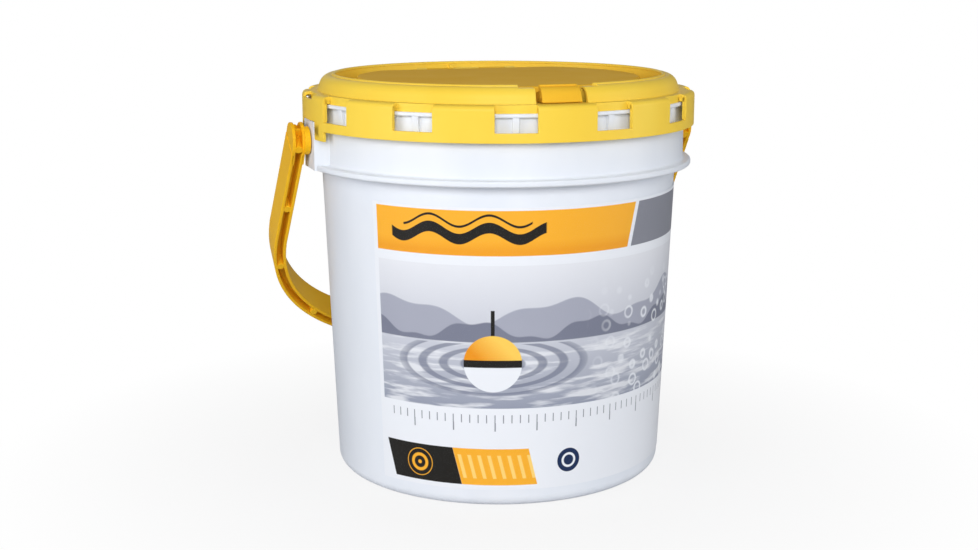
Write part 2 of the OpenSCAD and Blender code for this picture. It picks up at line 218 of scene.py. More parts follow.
def carved(bm, *cutters):
    """Takes closed shells out of another with Boolean modifiers."""
    scene = bpy.context.scene.collection
    for cutter in cutters:
        pair = []
        for shell in (bm, cutter):
            mesh = bpy.data.meshes.new("carving")
            shell.to_mesh(mesh)
            shell.free()
            pair.append(bpy.data.objects.new("carving", mesh))
            scene.objects.link(pair[-1])
        cut = pair[0].modifiers.new("cut", "BOOLEAN")
        cut.operation, cut.solver, cut.object = "DIFFERENCE", "EXACT", pair[1]
        bm = bmesh.new()
        bm.from_object(pair[0], bpy.context.evaluated_depsgraph_get())
        for thing in pair:
            mesh = thing.data
            bpy.data.objects.remove(thing)
            bpy.data.meshes.remove(mesh)
    return cleaned(bm)


# %% [markdown]
# ## Shader maths as arithmetic
# A pattern is easiest to read as a formula. The class below wraps a node's output, so that adding
# or multiplying two patterns adds the Math node that does it. Every other node comes from one
# method of the recipe, which takes the node's type, its settings and what goes into its sockets.

# %% A value in a material
class Value:
    """A number that varies over the surface."""

    def __init__(self, recipe, socket):
        self.recipe, self.socket = recipe, socket

    def math(self, operation, *others, **settings):
        inputs = dict(enumerate((self,) + others))
        return self.recipe.node("ShaderNodeMath", inputs, operation=operation, **settings)

    def __add__(self, other):
        return self.math("ADD", other)

    __radd__ = __add__

    def __sub__(self, other):
        return self.math("SUBTRACT", other)

    def __rsub__(self, other):
        return (self * -1) + other

    def __mul__(self, other):
        return self.math("MULTIPLY", other)

    __rmul__ = __mul__

    def __truediv__(self, other):
        return self.math("DIVIDE", other)

    def above(self, edge, blur=0.3):
        """0 below an edge and 1 above it, with a thin blend between."""
        return ((self - edge) / blur).math("ADD", 0.5, use_clamp=True)

    def below(self, edge, blur=0.3):
        return 1 - self.above(edge, blur)

    def between(self, low, high, blur=0.3):
        return self.above(low, blur) * self.below(high, blur)


# %% A material under construction
class Recipe:
    """Collects the nodes of one material."""

    def __init__(self, name):
        self.material = bpy.data.materials.new(name)
        self.material.use_nodes = True
        self.nodes = self.material.node_tree.nodes
        self.links = self.material.node_tree.links
        self.nodes.clear()

    def node(self, kind, inputs=None, out=0, stops=None, **settings):
        """Adds a node: settings first, then a ramp's stops, then what goes into its sockets."""
        made = self.nodes.new(kind)
        for name, setting in settings.items():
            setattr(made, name, setting)
        if stops:
            ramp = made.color_ramp
            while len(ramp.elements) < len(stops):
                ramp.elements.new(0.5)
            for element, (place, colour) in zip(ramp.elements, stops):
                element.position, element.color = place, colour
        for name, item in (inputs or {}).items():
            if isinstance(item, Value):
                self.links.new(item.socket, made.inputs[name])
            else:
                made.inputs[name].default_value = item
        return None if out is None else Value(self, made.outputs[out])

    def mix(self, first, second, factor):
        """Blends two colours."""
        return self.node("ShaderNodeMix", {0: factor, 6: first, 7: second}, out=2, data_type="RGBA")

    def place(self):
        """The point on the object, in metres."""
        return self.node("ShaderNodeTexCoord", out="Object")

    def noise(self, size, detail=2.0, where=None, stretch=None, out="Fac"):
        """Noise whose features are about so many millimetres across."""
        where = where or self.place()
        if stretch:
            where = self.node("ShaderNodeMapping", {"Vector": where, "Scale": stretch})
        return self.node("ShaderNodeTexNoise",
                         {"Vector": where, "Scale": 1 / (size * MM), "Detail": detail}, out=out)

    def bump(self, height, distance, strength=1.0):
        """A bump of so many millimetres."""
        return self.node("ShaderNodeBump", {"Height": height, "Distance": distance * MM,
                                            "Strength": strength})

    def finish(self, **sockets):
        """Feeds the surface shader and returns the material."""
        named = {key.replace("_", " "): item for key, item in sockets.items()}
        return self.surface(self.node("ShaderNodeBsdfPrincipled", named))

    def surface(self, shader):
        self.node("ShaderNodeOutputMaterial", {"Surface": shader}, out=None)
        return self.material


def paint(red, green, blue):
    """A colour as a screen shows it (0 to 255), as the linear numbers that shaders use."""
    parts = [c / 255 for c in (red, green, blue)]
    linear = [c / 12.92 if c <= 0.04045 else ((c + 0.055) / 1.055) ** 2.4 for c in parts]
    return (*linear, 1.0)


# %% [markdown]
# ## Moulded plastic
# Lid, hatch, bail and pail are polypropylene. Close up, such a moulding isn't one flat colour: the
# pigment clouds a little where the melt flowed, the surface has a fine spark-eroded grain, and its
# gloss differs from patch to patch. One recipe makes all of them from two close colours. The hatch
# gets a darker, more orange copy of the lid's yellow, as painted shade on its dimly lit flat top.

# %% Moulded plastic
def moulded_plastic(name, main, cloud, roughness, grain=0.02, shine=0.5):
    """Satin injection-moulded plastic in two close tones of one pigment."""
    recipe = Recipe(name)
    flow = recipe.noise(38, 3.0, stretch=(1, 1, 0.45))
    colour = recipe.mix(main, cloud, flow.between(0.45, 0.9, 0.35))
    fine = recipe.noise(0.55, 2.0)
    ripple = recipe.noise(9, 1.0)
    gloss = (flow - 0.5) * 0.16 + (fine - 0.5) * 0.08 + roughness
    return recipe.finish(Base_Color=colour, Roughness=gloss, Specular_IOR_Level=shine,
                         Normal=recipe.bump(fine * 0.6 + ripple, grain))


yellow_lid = moulded_plastic("yellow polypropylene of the lid", paint(250, 215, 78),
                             paint(248, 209, 68), 0.42, shine=0.25)
# painted shade: the hatch's two yellows are darker and more orange than the lid's, for its dim top
hatch_yellow_painted_shade = moulded_plastic("hatch yellow darkened as painted shade", paint(243, 191, 56),
                               paint(240, 186, 50), 0.6, shine=0.03)
yellow_bail = moulded_plastic("yellow polypropylene of the bail", paint(252, 198, 40),
                              paint(249, 190, 30), 0.42, shine=0.12)
white_shell = moulded_plastic("white polypropylene of the pail", paint(236, 240, 247),
                              paint(230, 235, 243), 0.36, grain=0.012, shine=0.3)
print("Plastics:", [m.name for m in (yellow_lid, hatch_yellow_painted_shade, yellow_bail, white_shell)])

# %% [markdown]
# ## The pail
# The pail is one moulding that is round nearly everywhere: foot ring, tapered wall, carrying flange,
# straight neck and lip. A spun section gives all of that at once, with the mould's radii in it. The
# gussets, base ribs and ears aren't round, so they are shells of their own that sink into the wall.

# %% The pail's section
PAIL_H, PAIL_R, TAPER, WALL = 234.2, 103.2, 0.04, 2.0
FLANGE_Z, NECK_R, NECK_IN = 193.4, 115.624, 113.624
FLANGE_R, LIP_R, LIP_Z, FLOOR_Z = 120.524, 118.524, 231.9, 5.5


def wall_r(height):
    return PAIL_R + TAPER * height


pail_section = (
    [(0, 3), (87.3, 3), (87.9, 2.7), (88.1, 0.5), (88.7, 0)]
    + arc(wall_r(7) - 7, 7, 7, -90, 0, 10)
    + [(wall_r(60), 60), (wall_r(120), 120), (wall_r(FLANGE_Z) - 0.2, FLANGE_Z - 1.2)]
    + [(wall_r(FLANGE_Z) + 1.0, FLANGE_Z)]
    + arc(FLANGE_R - 1.2, FLANGE_Z + 1.2, 1.2, -90, 0, 5)
    + arc(FLANGE_R - 1.2, FLANGE_Z + 2.4, 1.2, 0, 90, 5)
    + arc(NECK_R + 1.5, FLANGE_Z + 5.1, 1.5, -90, -180, 5)
    + [(NECK_R, 212.8), (NECK_R, LIP_Z), (LIP_R - 0.5, LIP_Z), (LIP_R, LIP_Z + 0.5)]
    + arc(LIP_R - 0.7, PAIL_H - 0.7, 0.7, 0, 90, 4)
    + arc(NECK_IN + 0.6, PAIL_H - 0.6, 0.6, 90, 180, 3)
    + [(NECK_IN, 195.4), (wall_r(195.4) - WALL, 195.4)]
    + arc(wall_r(FLOOR_Z) - WALL - 5, FLOOR_Z + 5, 5, 0, -90, 6)
    + [(0, FLOOR_Z)]
)

# %% Shell, gussets and base ribs
pail = cleaned(turned(pail_section, steps=200, closed=False))
WINDOWS = [k + m * i * 28 for i in (0.5, 1.5, 2.5) for m in (-1, 1) for k in (0, 180)]
for azimuth in WINDOWS + [90, -90]:
    gusset = block((-2, -(LIP_R - 0.4), LIP_Z - 10), (2, -(NECK_IN + 1), LIP_Z + 0.05))
    foot = [v for v in gusset.verts if v.co.z < 222.8 and v.co.y < -117]
    bmesh.ops.translate(gusset, vec=(0, 1.2, 0), verts=foot)
    soften(gusset, sharp_edges(gusset), 0.35)
    join(pail, at_azimuth(gusset, azimuth))
for azimuth in range(30, 390, 60):
    join(pail, at_azimuth(block((-1, -88.8, 1), (1, -13, 3.05)), azimuth))
centre_pad = turned([(0, 3.05), (14, 3.05), (14, 0.5), (13.5, 0), (0, 0)], steps=48, closed=False)
join(pail, cleaned(centre_pad))

# %% [markdown]
# An ear is the block that a stud of the bail turns in. Its flat face sweeps back to the neck in a
# hollow curve on both sides. The curve comes from a circle, the block from raising the outline, and
# the bore from carving a rod out of it.

# %% The two ears
EAR_FACE, EAR_HALF, EAR_FOOT, PIVOT_Z = NECK_R + 5.1, 13.5, 22.5, 210.3


def ear_outline():
    side = math.sqrt(NECK_R ** 2 - EAR_FOOT ** 2) + 0.2
    sweep = [(i / 8, math.sin(math.pi * i / 8)) for i in range(9)]
    curve = [(EAR_FACE + (side - EAR_FACE) * t - 0.55 * s, EAR_HALF + (EAR_FOOT - EAR_HALF) * t)
             for t, s in sweep]
    foot = math.sqrt(NECK_IN ** 2 - EAR_FOOT ** 2) + 1
    half = [(x, y) for x, y in curve] + [(foot, EAR_FOOT)]
    return half + [(x, -y) for x, y in reversed(half)]


ear = raised(flat_outline(ear_outline(), FLANGE_Z + 0.05), 29.3)
ear = carved(ear, tube(4.05, 0, EAR_FACE - 5.5, EAR_FACE + 2, 0, PIVOT_Z))
soften(ear, sharp_edges(ear, 30, lambda p: p.z > 222.3 or abs(p.y) > 13.2 and p.x > 120), 0.6)
other_ear = ear.copy()
bmesh.ops.rotate(other_ear, cent=(0, 0, 0), matrix=Matrix.Rotation(math.pi, 3, "Z"),
                 verts=other_ear.verts)
join(pail, cleaned(ear), cleaned(other_ear))
finish_piece(pail, "pail_shell", "pail", white_shell, ["pail"])

# %% [markdown]
# ## The foam liner
# The liner is a cup of expanded bead foam that fills the pail from floor to rim. It only shows when
# the hatch is open, as fused beads a few millimetres across. Its section is spun too. The beads are
# Voronoi cells: the distance to a cell's edge gives the fine grooves between beads, bumped in and
# darkened towards grey as painted shade.

# %% Bead foam
def bead_foam():
    recipe = Recipe("expanded bead foam")
    cells = recipe.node("ShaderNodeTexVoronoi", {"Vector": recipe.place(), "Scale": 1 / (3.6 * MM)},
                        feature="DISTANCE_TO_EDGE")
    tint = recipe.node("ShaderNodeTexVoronoi", {"Vector": recipe.place(), "Scale": 1 / (3.6 * MM)},
                       out="Color", feature="F1")
    shade = recipe.node("ShaderNodeSeparateColor", {0: tint})
    groove_painted_shade = cells.below(0.09, 0.12)
    colour = recipe.mix(paint(232, 234, 236), paint(222, 224, 228), shade)
    # painted shade: the grooves between beads are mixed towards grey
    colour = recipe.mix(colour, paint(196, 199, 204), groove_painted_shade * 0.7)
    pores = recipe.noise(0.8, 3.0)
    return recipe.finish(Base_Color=colour, Roughness=0.78 + groove_painted_shade * 0.1,
                         Normal=recipe.bump(cells.math("MINIMUM", 0.25) + pores * 0.08, 0.45))


# %% The cup
LINER_TOP, LINER_T = 231, 15.0
out_low, out_top = wall_r(FLOOR_Z) - 2.3, wall_r(LINER_TOP) - 2.3
liner_section = (
    [(0, FLOOR_Z)] + arc(out_low - 5, FLOOR_Z + 5, 5, -90, 0, 6)
    + arc(out_top - 1, LINER_TOP - 1, 1, 0, 90, 3)
    + [(out_top - LINER_T + 6, LINER_TOP), (out_top - LINER_T, LINER_TOP - 6)]
    + arc(out_low - LINER_T - 8, FLOOR_Z + LINER_T + 8, 8, 0, -90, 8)
    + [(0, FLOOR_Z + LINER_T)]
)
foam = bead_foam()
liner = cleaned(turned(liner_section, steps=144, closed=False))
finish_piece(liner, "foam_cup", "pail", foam, ["foam_liner"])

# %% [markdown]
# ## The lid
# The lid's shell is one wall that runs from the band over a rounded shoulder, along the deck, up a
# sloping collar to a beaded crest, and down inside it to a ledge. The windows pass through the band
# and the shoulder, so carving them would leave ragged facets. Instead the section is spun in
# sectors whose seams lie on the window edges. A window is then whole faces that are deleted from
# the outer and the inner surface, and the two rims that are left are bridged.

# %% The lid's measures and its section
BAND_R, BAND_IN, SEAT_OUT, COLLAR_R = 122.024, 120.024, 117.024, 112.724
BAND_Z, NOTCH_Z, SILL_Z, DECK_Z, LOW_Z = 218.2, 223.3, 223.8, 238.9, 247.3
CREST_R, CREST_IN, CREST_Z, BEAD_R, WALL_IN = 102.624, 101.524, 249, 1.1, 102.0
LEDGE_Z, LEDGE_IN, UNDER = 238.2, 95.024, 236.9
SHOULDER_R = 3.0
COLLAR_BEND = (103.976, 240.935)


def collar(depth, last=75, steps=8):
    """The rounding of the collar at a depth below its outside."""
    return arc(*COLLAR_BEND, 7.5 - depth, 20, last, steps)



band_out = [(BAND_R, BAND_Z), (BAND_R, NOTCH_Z), (BAND_R, SILL_Z), (BAND_R, DECK_Z - SHOULDER_R)]
shoulder = arc(BAND_R - SHOULDER_R, DECK_Z - SHOULDER_R, SHOULDER_R, 0, 90, 6)[1:]
deck = [(SEAT_OUT, DECK_Z), (COLLAR_R, DECK_Z)]
bead = arc(CREST_R, CREST_Z - BEAD_R, BEAD_R, 0, 180, 10)
slope, under_slope = collar(0, 58.1), backwards(collar(2.0, 75, 5))
brow = arc(*COLLAR_BEND, 7.5, 58.1, 75, 2)[1:]
crest = slope + brow + bead + [(CREST_IN, 247.6), (WALL_IN, LOW_Z), (WALL_IN, DECK_Z)]
low_crest = slope + [(WALL_IN, LOW_Z), (WALL_IN, DECK_Z)]
ledge = [(WALL_IN, LEDGE_Z), (100.52, LEDGE_Z), (LEDGE_IN, LEDGE_Z), (LEDGE_IN, 236.2), (103.52, 236.2)]
pocket = [(103.52, DECK_Z), (103.52, under_slope[0][1])] + under_slope + [(109.9, DECK_Z)]
rings = [(110.72, UNDER), (111.02, UNDER), (111.02, 227.8), (113.02, 227.8), (113.02, UNDER),
         (115.02, UNDER), (115.02, 234.2), (SEAT_OUT, 234.2), (SEAT_OUT, UNDER)]
band_in = arc(BAND_R - SHOULDER_R, DECK_Z - SHOULDER_R, 1, 90, 0, 6)
band_in += [(BAND_IN, SILL_Z), (BAND_IN, NOTCH_Z), (BAND_IN, BAND_Z)]

start_of_all, end_of_all = band_out + shoulder + deck, rings + band_in
SECTIONS = {
    "crest": start_of_all + crest + ledge + [(103.52, UNDER)] + pocket + end_of_all,
    "low": start_of_all + low_crest + ledge + [(103.52, UNDER)] + pocket + end_of_all,
    "notch": start_of_all + [(109.9, DECK_Z), (103.52, DECK_Z), (WALL_IN, DECK_Z), (100.52, DECK_Z)]
    + ledge[1:] + [(103.52, UNDER)] + end_of_all,
}


# %% Sectors whose seams lie on every window, slot and notch
def half_angle(width, radius=BAND_IN):
    return math.degrees(math.asin(width / 2 / radius))


WINDOW_HALF = half_angle(24)
NOTCH_HALF, LOW_HALF = half_angle(28.8, 104), half_angle(46, 104)
EAR_HALF_ANGLE, TAB_HALF_ANGLE = half_angle(32), half_angle(57.6)
seams = {-180.0, 180.0, -NOTCH_HALF, NOTCH_HALF, -LOW_HALF, LOW_HALF}
for middle in WINDOWS:
    middle = middle - 360 if middle > 180 else middle
    seams |= {middle - WINDOW_HALF, middle + WINDOW_HALF}
for middle in (-90, 90):
    for half in (WINDOW_HALF, EAR_HALF_ANGLE, TAB_HALF_ANGLE):
        seams |= {middle - half, middle + half}
seams = sorted(seams)

lid = bmesh.new()
for low, high in zip(seams, seams[1:]):
    middle = abs(low + high) / 2
    kind = "notch" if middle < NOTCH_HALF else "low" if middle < LOW_HALF else "crest"
    turned(SECTIONS[kind], low, high, max(1, round((high - low) / 1.9)), bm=lid)
bmesh.ops.remove_doubles(lid, verts=lid.verts, dist=0.002)
print("lid:", len(seams) - 1, "sectors,", len(lid.faces), "faces")


# %% Closing the step where two sections meet
def nearest(bm, spot):
    return min(bm.verts, key=lambda v: (v.co - spot).length)


def close_step(bm, azimuth, section):
    bm.faces.new([nearest(bm, point_on(r, azimuth, z)) for r, z in section])


for side in (-1, 1):
    close_step(lid, side * LOW_HALF, crest[len(slope) - 1:-1])
    cut = side * NOTCH_HALF
    close_step(lid, cut, [(COLLAR_R, DECK_Z)] + low_crest + pocket)
    close_step(lid, cut, [(103.52, UNDER), (103.52, DECK_Z), (109.9, DECK_Z), (110.72, UNDER)])
    close_step(lid, cut, [(WALL_IN, LEDGE_Z), (WALL_IN, DECK_Z), (100.52, DECK_Z), (100.52, LEDGE_Z)])
print("lid: open edges after the steps:", sum(e.is_boundary for e in lid.edges))


# %% Windows and slots: delete the faces of both surfaces, then bridge the two rims
def faces_within(bm, middle, half, low, high, least):
    def inside(face):
        centre = face.calc_center_median()
        off = abs((azimuth_of(centre) - middle + 180) % 360 - 180)
        return off < half and low < centre.z < high and distance_of(centre) > least
    return [f for f in bm.faces if inside(f)]


def open_window(bm, middle, half, sill):
    gone = faces_within(bm, middle, half, sill, DECK_Z + 0.5, SEAT_OUT + 0.05)
    bmesh.ops.delete(bm, geom=gone, context="FACES")
    bmesh.ops.bridge_loops(bm, edges=[e for e in bm.edges if e.is_boundary])


for azimuth in WINDOWS:
    open_window(lid, azimuth, WINDOW_HALF, SILL_Z)
for azimuth in (-90, 90):
    open_window(lid, azimuth, WINDOW_HALF, DECK_Z - SHOULDER_R)
print("lid: open edges after the windows:", sum(e.is_boundary for e in lid.edges))

# %% The band's raised edge over each ear, and the short tabs beside it
for middle in (-90, 90):
    gone = faces_within(lid, middle, EAR_HALF_ANGLE, BAND_Z - 1, NOTCH_Z, SEAT_OUT + 1)
    bmesh.ops.delete(lid, geom=gone, context="FACES")
    rim = [e for e in lid.edges if e.is_boundary]
    level = [e for e in rim if min(v.co.z for v in e.verts) > NOTCH_Z - 0.01]
    bmesh.ops.bridge_loops(lid, edges=level)
    bmesh.ops.holes_fill(lid, edges=[e for e in lid.edges if e.is_boundary], sides=0)
    between = (EAR_HALF_ANGLE + TAB_HALF_ANGLE) / 2
    reach = (TAB_HALF_ANGLE - EAR_HALF_ANGLE) / 2
    for side in (-1, 1):
        feet = faces_within(lid, middle + side * between, reach, BAND_Z - 1, BAND_Z + 0.1, SEAT_OUT + 1)
        drop = bmesh.ops.extrude_face_region(lid, geom=feet)["geom"]
        bmesh.ops.translate(lid, vec=(0, 0, -5.8), verts=[g for g in drop if isinstance(g, bmesh.types.BMVert)])
bmesh.ops.recalc_face_normals(lid, faces=lid.faces)
print("lid: open edges after the ears:", sum(e.is_boundary for e in lid.edges))

# %% Softening the cut edges
rim_edges = sharp_edges(lid, 35, lambda p: distance_of(p) > SEAT_OUT - 0.1 and abs(p.z - 234.2) > 0.1)
soften(lid, rim_edges, 0.35)
notch_edges = sharp_edges(lid, 35, lambda p: abs(azimuth_of(p)) < LOW_HALF + 0.3 and p.z > DECK_Z + 0.05)
soften(lid, notch_edges, 0.22, 1)
cleaned(lid)

# %% [markdown]
# Beside every window the real lid is boxed in: small walls run from the band towards the pail, and
# stiffen the strip of band that is left. They stop short of the rim's lip, so that the lid lifts off.

# %% The small walls beside each window
for azimuth in WINDOWS:
    for side in (-1, 1):
        for inner, low, high in ((118.9, SILL_Z + 0.3, UNDER + 0.2), (SEAT_OUT - 0.2, 234.7, UNDER + 0.2)):
            plate = block((side * 12.75 - 0.8, -BAND_IN - 0.2, low), (side * 12.75 + 0.8, -inner, high))
            join(lid, at_azimuth(plate, azimuth))
print("lid:", len(WINDOWS) * 4, "small walls")

# %% [markdown]
# Behind the hinge the lid has a fixed piece of deck, and it carries three of the hinge's five
# knuckles on short posts. Those are shells of their own. A knuckle is a tube, because the hinge pin
# passes through it.

# %% The fixed rear deck, the knuckles, and the rib behind them
HINGE_Y, HINGE_Z, KNUCKLE_R, BORE_R = 67.0, 243.8, 3.2, 1.55
rear = bmesh.new()
bmesh.ops.create_circle(rear, cap_ends=True, radius=LEDGE_IN + 0.3, segments=180)
bmesh.ops.bisect_plane(rear, geom=rear.verts[:] + rear.edges[:] + rear.faces[:],
                       plane_co=(0, 60, 0), plane_no=(0, 1, 0), clear_inner=True)
bmesh.ops.translate(rear, vec=(0, 0, 236.22), verts=rear.verts)
rear = raised(rear, 1.96)
soften(rear, sharp_edges(rear, 35, lambda p: p.y < 60.1), 0.4)
join(lid, rear)
for low, high in ((-8.7, 8.7), (27.3, 34.0), (-34.0, -27.3)):
    knuckle = tube(KNUCKLE_R, BORE_R, low, high, HINGE_Y, HINGE_Z)
    soften(knuckle, sharp_edges(knuckle, 35), 0.3)
    post = block((low + 0.05, HINGE_Y - 1.5, LEDGE_Z - 0.3), (high - 0.05, HINGE_Y + 2, HINGE_Z - 1.7))
    join(lid, knuckle, post)
rib = block((-1.5, CREST_IN - 3, LEDGE_Z - 0.1), (1.5, WALL_IN + 0.5, CREST_Z - BEAD_R - 1))
soften(rib, sharp_edges(rib, 35), 0.4)
join(lid, rib)
finish_piece(lid, "lid_shell", "lid", yellow_lid, ["lid"])

# %% [markdown]
# ## The hinge pin
# The pin is drawn steel wire. Its CAD solid already has the right shape, so it stays and only gets
# a finish: fine scratches along its length, made by stretching noise along X.

# %% Brushed steel for the pin
def brushed_steel():
    recipe = Recipe("drawn steel wire")
    lines = recipe.noise(0.25, 2.0, stretch=(0.04, 1, 1))
    colour = recipe.mix(paint(176, 178, 182), paint(206, 208, 212), lines)
    return recipe.finish(Base_Color=colour, Metallic=1.0, Roughness=0.26 + lines * 0.14,
                         Normal=recipe.bump(lines, 0.01))


pin_steel = brushed_steel()
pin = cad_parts["hinge_pin"]
pin.data.materials.clear()
pin.data.materials.append(pin_steel)
print("hinge_pin keeps its CAD shape")

# %% [markdown]
# ## The hatch
# Everything on the hatch follows one outline: a disc cut straight at the back, along the hinge. The
# disc is a circle cut by a plane. Raised, it gives the panel. Inset and with its middle deleted, it
# gives the plug skirt below and the low stiffening ring on top.

# %% The cut disc, as a face, a block or a wall
def cut_disc(radius, chord, height):
    bm = bmesh.new()
    bmesh.ops.create_circle(bm, cap_ends=True, radius=radius, segments=180)
    bmesh.ops.bisect_plane(bm, geom=bm.verts[:] + bm.edges[:] + bm.faces[:],
                           plane_co=(0, chord, 0), plane_no=(0, 1, 0), clear_outer=True)
    bmesh.ops.translate(bm, vec=(0, 0, height), verts=bm.verts)
    return bm


def cut_ring(radius, chord, wall, height, tall):
    bm = cut_disc(radius, chord, height)
    middle = bm.faces[:]
    bmesh.ops.inset_region(bm, faces=middle, thickness=wall, use_even_offset=True)
    bmesh.ops.delete(bm, geom=[f for f in middle if f.is_valid], context="FACES")
    return raised(bm, tall)


# %% The raised panel, carved hollow and notched for the lid's knuckles
PANEL_R, PANEL_Z, PANEL_Y = 88.024, 246.6, 65.0
panel = raised(cut_disc(PANEL_R, PANEL_Y, LEDGE_Z), PANEL_Z - LEDGE_Z)
soften(panel, sharp_edges(panel, 35, lambda p: p.z > PANEL_Z - 0.1), 1.3, 4)
hollow_block = raised(cut_disc(PANEL_R - 2.2, 61.6, LEDGE_Z - 2), PANEL_Z - LEDGE_Z - 0.2)
room = [block((low, 62.9, 232.8), (high, 80, 252.8)) for low, high in ((-9.3, 9.3), (26.7, 34.9), (-34.9, -26.7))]
hatch = carved(panel, hollow_block, *room)
low_ring = cut_ring(PANEL_R - 5, PANEL_Y - 7, 2.0, PANEL_Z - 0.5, 1.2)
soften(low_ring, sharp_edges(low_ring, 35, lambda p: p.z > PANEL_Z), 0.45, 3)
join(hatch, low_ring)

# %% The flange, the plug skirt and the tongue
FLANGE_OUT, FLANGE_Y = 99.824, 58.0
flange = turned_part([(87.0, LEDGE_Z), (FLANGE_OUT - 0.3, LEDGE_Z), (FLANGE_OUT, LEDGE_Z + 0.3),
                      (FLANGE_OUT, 239.9), (FLANGE_OUT - 0.5, 240.4), (87.0, 240.4)], -140, 140, 150)
bmesh.ops.bisect_plane(flange, geom=flange.verts[:] + flange.edges[:] + flange.faces[:],
                       plane_co=(0, FLANGE_Y, 0), plane_no=(0, 1, 0), clear_outer=True)
bmesh.ops.holes_fill(flange, edges=[e for e in flange.edges if e.is_boundary], sides=0)
skirt = cut_ring(92.624, 56.0, 1.8, LEDGE_Z - 7.3, 7.8)
soften(skirt, sharp_edges(skirt, 35, lambda p: p.z < LEDGE_Z - 7), 0.4)
tongue = turned_part([(90.824, 227.2), (92.624, 227.2), (92.624, 231.7), (93.524, 233.2), (92.624, 234.7),
                      (92.624, LEDGE_Z), (90.824, LEDGE_Z)], -half_angle(40, 92), half_angle(40, 92), 12)
soften(tongue, sharp_edges(tongue, 35, lambda p: p.z < 227.8), 0.4)
join(hatch, cleaned(flange), skirt, tongue)

# %% The moving knuckles
for low, high in ((9.3, 26.7), (-26.7, -9.3)):
    knuckle = tube(KNUCKLE_R, BORE_R, low, high, HINGE_Y, HINGE_Z)
    join(hatch, soften(knuckle, sharp_edges(knuckle, 35), 0.3))

# %% [markdown]
# The finger tab stands in the lid's front notch: an arm over the notch's floor, and a panel that
# carries on the collar's outside up to a rolled edge for a fingertip. Arm, panel and roll share one
# section, spun through the tab's width. Behind it a thin gusset stands on each side.

# %% The finger tab
tab_section = (
    [(95.0, 239.3), (112.0, 239.3), (112.42, 239.7)] + collar(0.3)
    + [(104.9, 247.9)] + arc(104.4, 248.4, 0.6, 0, 90, 4)
    + [(102.5, 249), (102.22, 248.7), (102.22, 246)] + backwards(collar(2.5))
    + [(109.0, 241.8), (108.6, 241.5), (95.0, 241.5)]
)
TAB_HALF = half_angle(22.8, 107)
tab = turned_part(tab_section, -TAB_HALF, TAB_HALF, 10)
soften(tab, sharp_edges(tab, 60, lambda p: abs(abs(azimuth_of(p)) - TAB_HALF) < 0.05), 0.3)
join(hatch, tab)
for side in (-1, 1):
    gusset = block((side * 10.2 - 1, -105.4, 239.5), (side * 10.2 + 1, -95.8, 246.2))
    back = [v for v in gusset.verts if v.co.z > 244.8 and v.co.y > -97]
    bmesh.ops.translate(gusset, vec=(0, 0, -2.6), verts=back)
    join(hatch, soften(gusset, sharp_edges(gusset, 35), 0.3))
finish_piece(hatch, "hatch_door", "hatch", hatch_yellow_painted_shade, ["hatch"])

# %% [markdown]
# ## The bail
# The handle has two thin walls, a web halfway between their edges, and cross ribs on both sides.
# Its arms run nearly straight and its loop is a squared-off half ellipse. The section is extruded
# from station to station along that path, lying flat, and the whole bail is then tilted to hang.

# %% The path of the bail
BAIL_HALF, SPLAY, ARM, REACH, BAIL_T, POWER = 123.824, 0.045, 84.0, 186.0, 8.0, 2.2
BACK, FRONT, BAIL_WALL = 14.5, 6.5, 2.0
LOOP_HALF = BAIL_HALF + SPLAY * ARM


def on_bail(station, offset):
    """A flat point of the bail. Stations below 0 lie on the right arm, above 180 on the left."""
    if station < 0 or station > 180:
        down = ARM + station if station < 0 else ARM - (station - 180)
        across = BAIL_HALF + SPLAY * down + offset
        return Vector((across if station < 0 else -across, -down, 0))
    turn = math.radians(station)
    power = 2 / POWER
    across = abs(math.cos(turn)) ** power * (LOOP_HALF + offset)
    deep = math.sin(turn) ** power * (REACH - ARM + offset)
    return Vector((across if station <= 90 else -across, -ARM - deep, 0))


stations = [-78, -64, -50, -36, -24, -12] + [180 * i / 60 for i in range(61)]
stations += [180 + s for s in (12, 24, 36, 50, 64, 78)]
WEB_BACK, WEB_FRONT, FAR = -5.0, -3.0, BAIL_T - BAIL_WALL
section = [(0, FRONT), (0, -BACK), (BAIL_WALL, -BACK), (BAIL_WALL, WEB_BACK), (FAR, WEB_BACK), (FAR, -BACK),
           (BAIL_T, -BACK), (BAIL_T, FRONT), (FAR, FRONT), (FAR, WEB_FRONT), (BAIL_WALL, WEB_FRONT),
           (BAIL_WALL, FRONT)]

# %% Extruding the channel along its path
bail = bmesh.new()
ring = [bail.verts.new(on_bail(stations[0], o) + Vector((0, 0, z))) for o, z in section]
rail = [bail.edges.new((ring[i], ring[(i + 1) % len(ring)])) for i in range(len(ring))]
for station in stations[1:]:
    pushed = bmesh.ops.extrude_edge_only(bail, edges=rail)["geom"]
    rail = [g for g in pushed if isinstance(g, bmesh.types.BMEdge)]
    ring = [g for g in pushed if isinstance(g, bmesh.types.BMVert)]
    before = stations[stations.index(station) - 1]
    for vert in ring:
        offset, height = min(section, key=lambda c: (on_bail(before, c[0]) + Vector((0, 0, c[1])) - vert.co).length)
        vert.co = on_bail(station, offset) + Vector((0, 0, height))
bmesh.ops.holes_fill(bail, edges=[e for e in bail.edges if e.is_boundary], sides=0)
cleaned(bail)
soften(bail, sharp_edges(bail, 50, lambda p: p.y < -7), 0.55, 3)
print("bail: section pushed through", len(stations), "stations")


